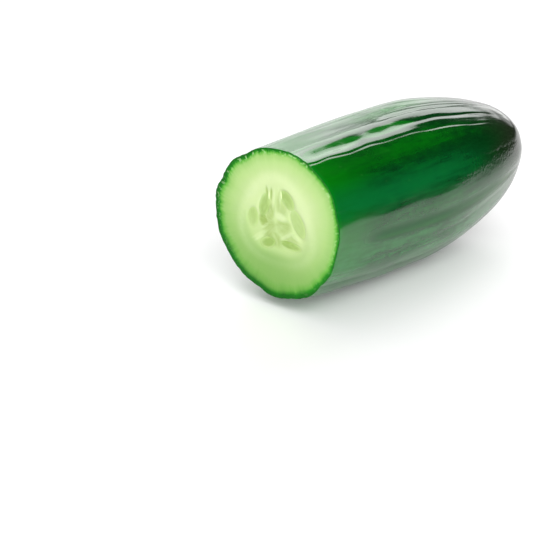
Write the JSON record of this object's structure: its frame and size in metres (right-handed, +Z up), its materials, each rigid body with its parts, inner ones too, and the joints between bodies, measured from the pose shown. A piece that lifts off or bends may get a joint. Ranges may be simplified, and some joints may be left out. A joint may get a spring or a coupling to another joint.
{
  "type": "cucumber",
  "caption": "Half a cucumber lying on its side: ribbed dark green skin, a flat cut face with pale flesh and seeds, and a rounded stalk end.",
  "frame": {"origin": "on the surface it lies on, under the middle of its box", "axes": "+X along its length from the cut face to the stalk end, +Z up"},
  "size_m": [0.0984, 0.0534, 0.0494],
  "materials": {
    "skin": "glossy dark green peel, lighter and mottled between the ribs",
    "flesh": "moist pale yellow-green flesh, greener under the skin",
    "seed": "moist soft seeds, a little darker than the flesh",
    "scar": "dry corky brown-green stalk scar"
  },
  "bodies": {
    "root": {"cucumber": "skin"}
  },
  "joints": []
}
